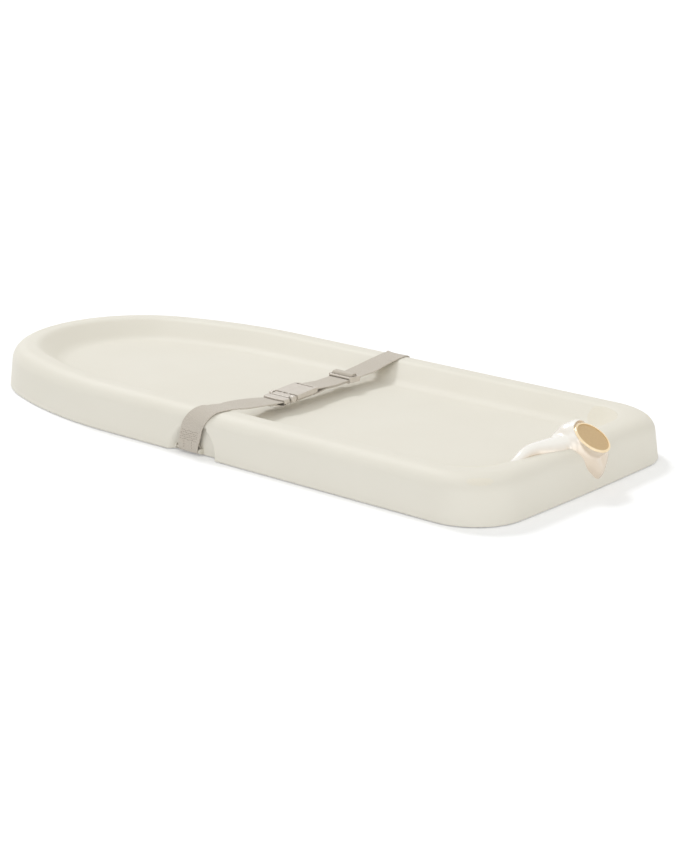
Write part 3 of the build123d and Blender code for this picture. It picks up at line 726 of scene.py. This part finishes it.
for name, hand in (("near", -1), ("far", 1)):
    edge = web_width / 2 - 3.2 * mm
    low_z, high_z = 17 * mm, 27 * mm
    heights = np.linspace(8 * mm, low_z, 8)
    rows = [[on_leg(hand, x, z) for z in heights] for x in (-edge / 2, edge / 2)]
    for level in np.linspace(low_z, high_z, 5):
        across = np.linspace(-edge, edge, 24)
        wave = 0.5 * mm * np.sin(across / (1.6 * mm) + level / mm)
        rows.append([on_leg(hand, x, level + w) for x, w in zip(across, wave)])
    sew(f"{name}_leg_stitches", rows, "pad")
end_x = web_width / 2 - 3 * mm
plug_rows = []
for back_run in (14 * mm, 17 * mm):
    y, z = on_buckle(plug_end - back_run, run_z + back_run * rise - 2 * ply + 0.35 * mm - web / 2)
    plug_rows.append([(belt_x - end_x, y, z), (belt_x + end_x, y, z)])
sew("plug_webbing_stitches", plug_rows, "plug")

# ---- Saddle badge -------------------------------------------------------------------------------
# A glossy pearl-white saddle moulded over the foot rim and pegged into the foam: a bulb behind the disc,
# a ridge that fades along the rim towards the near side, and a tongue down the outer wall. A pale gold
# bezel holds a bare brushed-gold disc on a short collar.
badge = Vector((half_length - 8.7 * mm + shift, 14.4 * mm, rim_z + 5 * mm))
badge_lean, badge_turn = math.radians(33.7), math.radians(5.5)
badge_out = Vector((math.sin(badge_lean) * math.cos(badge_turn), math.sin(badge_lean) * math.sin(badge_turn),
                    math.cos(badge_lean)))
upright = badge_out.to_track_quat("Z", "Y")
# The saddle is balls run together. Each row is a ball's place from the pad's middle and its radius, in mm.
lumps = [(385, 13, 52, 19.5), (380, 6, 54, 15), (384, 21, 47, 18),
         (379, 13, 45, 18), (376, -1, 44, 16.5), (377, 6, 49, 16)]
ridge_stops = [(379, 4, 46, 16), (379, -12, 41.5, 17), (378, -26, 43, 16), (376, -40, 46, 13),
               (374, -54, 49, 9.8), (374, -68, 49, 7.6), (375.5, -84, 45.5, 6), (378, -104, 42, 5.5)]
skirt_stops = [(371, -8, 38, 15), (370, -24, 39, 13), (370, -40, 41, 10),
               (371.5, -56, 43, 7.6), (374, -74, 43.5, 5.6)]
left_lobe = [(388, 4, 46, 18), (390, 2, 42, 17), (394, 8, 33, 17.5),
             (398, 13, 26, 14), (401, 17.5, 20, 11.5), (404, 19, 16, 7)]
right_lobe = [(388, 26, 46, 18), (389, 30, 42, 18), (394, 27, 33, 17),
              (398, 24, 26, 13.5), (401, 21, 20, 11)]
# The collar and the flat cut behind the disc, as radius in mm and depth or height from the disc's back.
collar_stops = [(21.3, 0), (20.6, 3), (18.5, 10), (16.5, 18), (15, 27), (17, 42)]
cut_stops = [(21.9, -1.5), (22.8, 2), (26, 60)]
turn_count = 96


def ball_chain(stops, count):
    """Centres and radii of balls along a smooth line through the stops."""
    stops = np.array(stops, float) * mm
    rows = []
    for t in np.linspace(0, len(stops) - 1, count):
        i = min(int(t), len(stops) - 2)
        p0, p1, p2, p3 = stops[max(i - 1, 0)], stops[i], stops[i + 1], stops[min(i + 2, len(stops) - 1)]
        u = t - i
        curve = 2 * p1 + (p2 - p0) * u + (2 * p0 - 5 * p1 + 4 * p2 - p3) * u**2
        rows.append(0.5 * (curve + (3 * p1 - p0 - 3 * p2 + p3) * u**3))
    return rows


def turned(bm, outline, place):
    """Turns an outline of (radius, height) points about the disc's own axis and caps both ends."""
    rings = []
    for radius, height in outline:
        ring = []
        for t in np.linspace(0, 2 * math.pi, turn_count, endpoint=False):
            ring.append(bm.verts.new(place @ Vector((radius * math.cos(t), radius * math.sin(t), height))))
        rings.append(ring)
    for low, high in zip(rings, rings[1:]):
        for i in range(turn_count):
            j = (i + 1) % turn_count
            bm.faces.new((low[i], low[j], high[j], high[i]))
    bm.faces.new(rings[0][::-1])
    bm.faces.new(rings[-1])


def fused(name, bm, modifiers):
    """Makes a plain mesh object from bm after the modifiers, given as (kind, settings)."""
    mesh = bpy.data.meshes.new(name + "_raw")
    bm.to_mesh(mesh)
    bm.free()
    raw = bpy.data.objects.new(name + "_raw", mesh)
    bpy.context.collection.objects.link(raw)
    for kind, settings in modifiers:
        modifier = raw.modifiers.new(kind.lower(), kind)
        for key, value in settings.items():
            setattr(modifier, key, value)
    bpy.context.view_layer.update()
    shape = bpy.data.meshes.new_from_object(raw.evaluated_get(bpy.context.evaluated_depsgraph_get()))
    bpy.data.objects.remove(raw)
    obj = bpy.data.objects.new(name, shape)
    bpy.context.collection.objects.link(obj)
    return obj


place = Matrix.Translation(badge) @ upright.to_matrix().to_4x4()
lump = bmesh.new()
chains = ball_chain(ridge_stops, 60) + ball_chain(skirt_stops, 30)
chains += ball_chain(left_lobe, 24) + ball_chain(right_lobe, 20)
for x, y, z, radius in [np.array(stop) * mm for stop in lumps] + chains:
    ball = bmesh.ops.create_icosphere(lump, subdivisions=4, radius=radius)
    bmesh.ops.translate(lump, verts=ball["verts"], vec=Vector((x + shift, y, z)))
knife_mesh = bmesh.new()
turned(knife_mesh, [(r * mm, h * mm) for r, h in cut_stops], place)
knife = fused("badge_knife", knife_mesh, [])
trimmed = fused("badge_lump", lump, [("REMESH", dict(mode="VOXEL", voxel_size=0.9 * mm)),
                                     ("SMOOTH", dict(factor=0.7, iterations=36)),
                                     ("BOOLEAN", dict(operation="DIFFERENCE", object=knife, solver="EXACT"))])
bpy.data.objects.remove(knife)
joined = bmesh.new()
joined.from_mesh(trimmed.data)
bpy.data.objects.remove(trimmed)
turned(joined, [(r * mm, -d * mm) for r, d in collar_stops[::-1]], place)
saddle = fused("badge_saddle", joined, [("REMESH", dict(mode="VOXEL", voxel_size=0.7 * mm)),
                                        ("SMOOTH", dict(factor=0.5, iterations=6))])
saddle.data.polygons.foreach_set("use_smooth", [True] * len(saddle.data.polygons))
pearl, pearl_shader = plain_finish("pearl_lacquer", (0.88, 0.83, 0.75), 0.22)
pearl_nodes, pearl_links = pearl.node_tree.nodes, pearl.node_tree.links
# Painted light and shade: the colour runs from pale white on faces turned up to darker champagne on faces
# turned sideways or down, standing in for the bright top light and the darker reflections and shade below.
facing = pearl_nodes.new("ShaderNodeNewGeometry")
upward = pearl_nodes.new("ShaderNodeSeparateXYZ")
painted_light_by_facing = pearl_nodes.new("ShaderNodeValToRGB")
painted_light_by_facing.color_ramp.elements[0].position = 0.12
painted_light_by_facing.color_ramp.elements[1].position = 0.85
painted_light_by_facing.color_ramp.elements[0].color = (0.79, 0.68, 0.555, 1.0)
painted_light_by_facing.color_ramp.elements[1].color = (0.95, 0.925, 0.87, 1.0)
pearl_links.new(facing.outputs["Normal"], upward.inputs["Vector"])
pearl_links.new(upward.outputs["Z"], painted_light_by_facing.inputs["Fac"])
pearl_links.new(painted_light_by_facing.outputs["Color"], pearl_shader.inputs["Base Color"])
pearl_shader.inputs["Metallic"].default_value = 0.35
pearl_shader.inputs["Coat Weight"].default_value = 0.4
pearl_shader.inputs["Coat Roughness"].default_value = 0.05
saddle.data.materials.clear()
saddle.data.materials.append(pearl)
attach(saddle, "pad")
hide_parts("badge_boss")

bezel_gold, bezel_shader = plain_finish("pale_gold_bezel", (0.95, 0.78, 0.52), 0.28)
bezel_shader.inputs["Metallic"].default_value = 0.75
mottle(bezel_gold, bezel_shader, (0.96, 0.80, 0.55), (0.92, 0.74, 0.48), 0.004)
brushed, brushed_shader = plain_finish("brushed_gold", (0.61, 0.43, 0.22), 0.42)
brushed_shader.inputs["Metallic"].default_value = 0.35
brushed_nodes, brushed_links = brushed.node_tree.nodes, brushed.node_tree.links
spot = brushed_nodes.new("ShaderNodeTexCoord")
lines = brushed_nodes.new("ShaderNodeMapping")
lines.inputs["Scale"].default_value = (4000.0, 250.0, 4000.0)
strokes = brushed_nodes.new("ShaderNodeTexNoise")
strokes.inputs["Scale"].default_value = 1.0
shades = brushed_nodes.new("ShaderNodeValToRGB")
shades.color_ramp.elements[0].position = 0.3
shades.color_ramp.elements[1].position = 0.7
shades.color_ramp.elements[0].color = (0.56, 0.39, 0.195, 1.0)
shades.color_ramp.elements[1].color = (0.65, 0.465, 0.245, 1.0)
brushed_links.new(spot.outputs["Object"], lines.inputs["Vector"])
brushed_links.new(lines.outputs["Vector"], strokes.inputs["Vector"])
brushed_links.new(strokes.outputs["Fac"], shades.inputs["Fac"])
brushed_links.new(shades.outputs["Color"], brushed_shader.inputs["Base Color"])
dress("badge_bezel", bezel_gold)
dress("badge_disc", brushed)
peg_plastic, peg_shader = plain_finish("peg_plastic", (0.78, 0.76, 0.72), 0.5)
mottle(peg_plastic, peg_shader, (0.80, 0.78, 0.74), (0.74, 0.72, 0.68), 0.003)
dress("badge_pegs", peg_plastic)
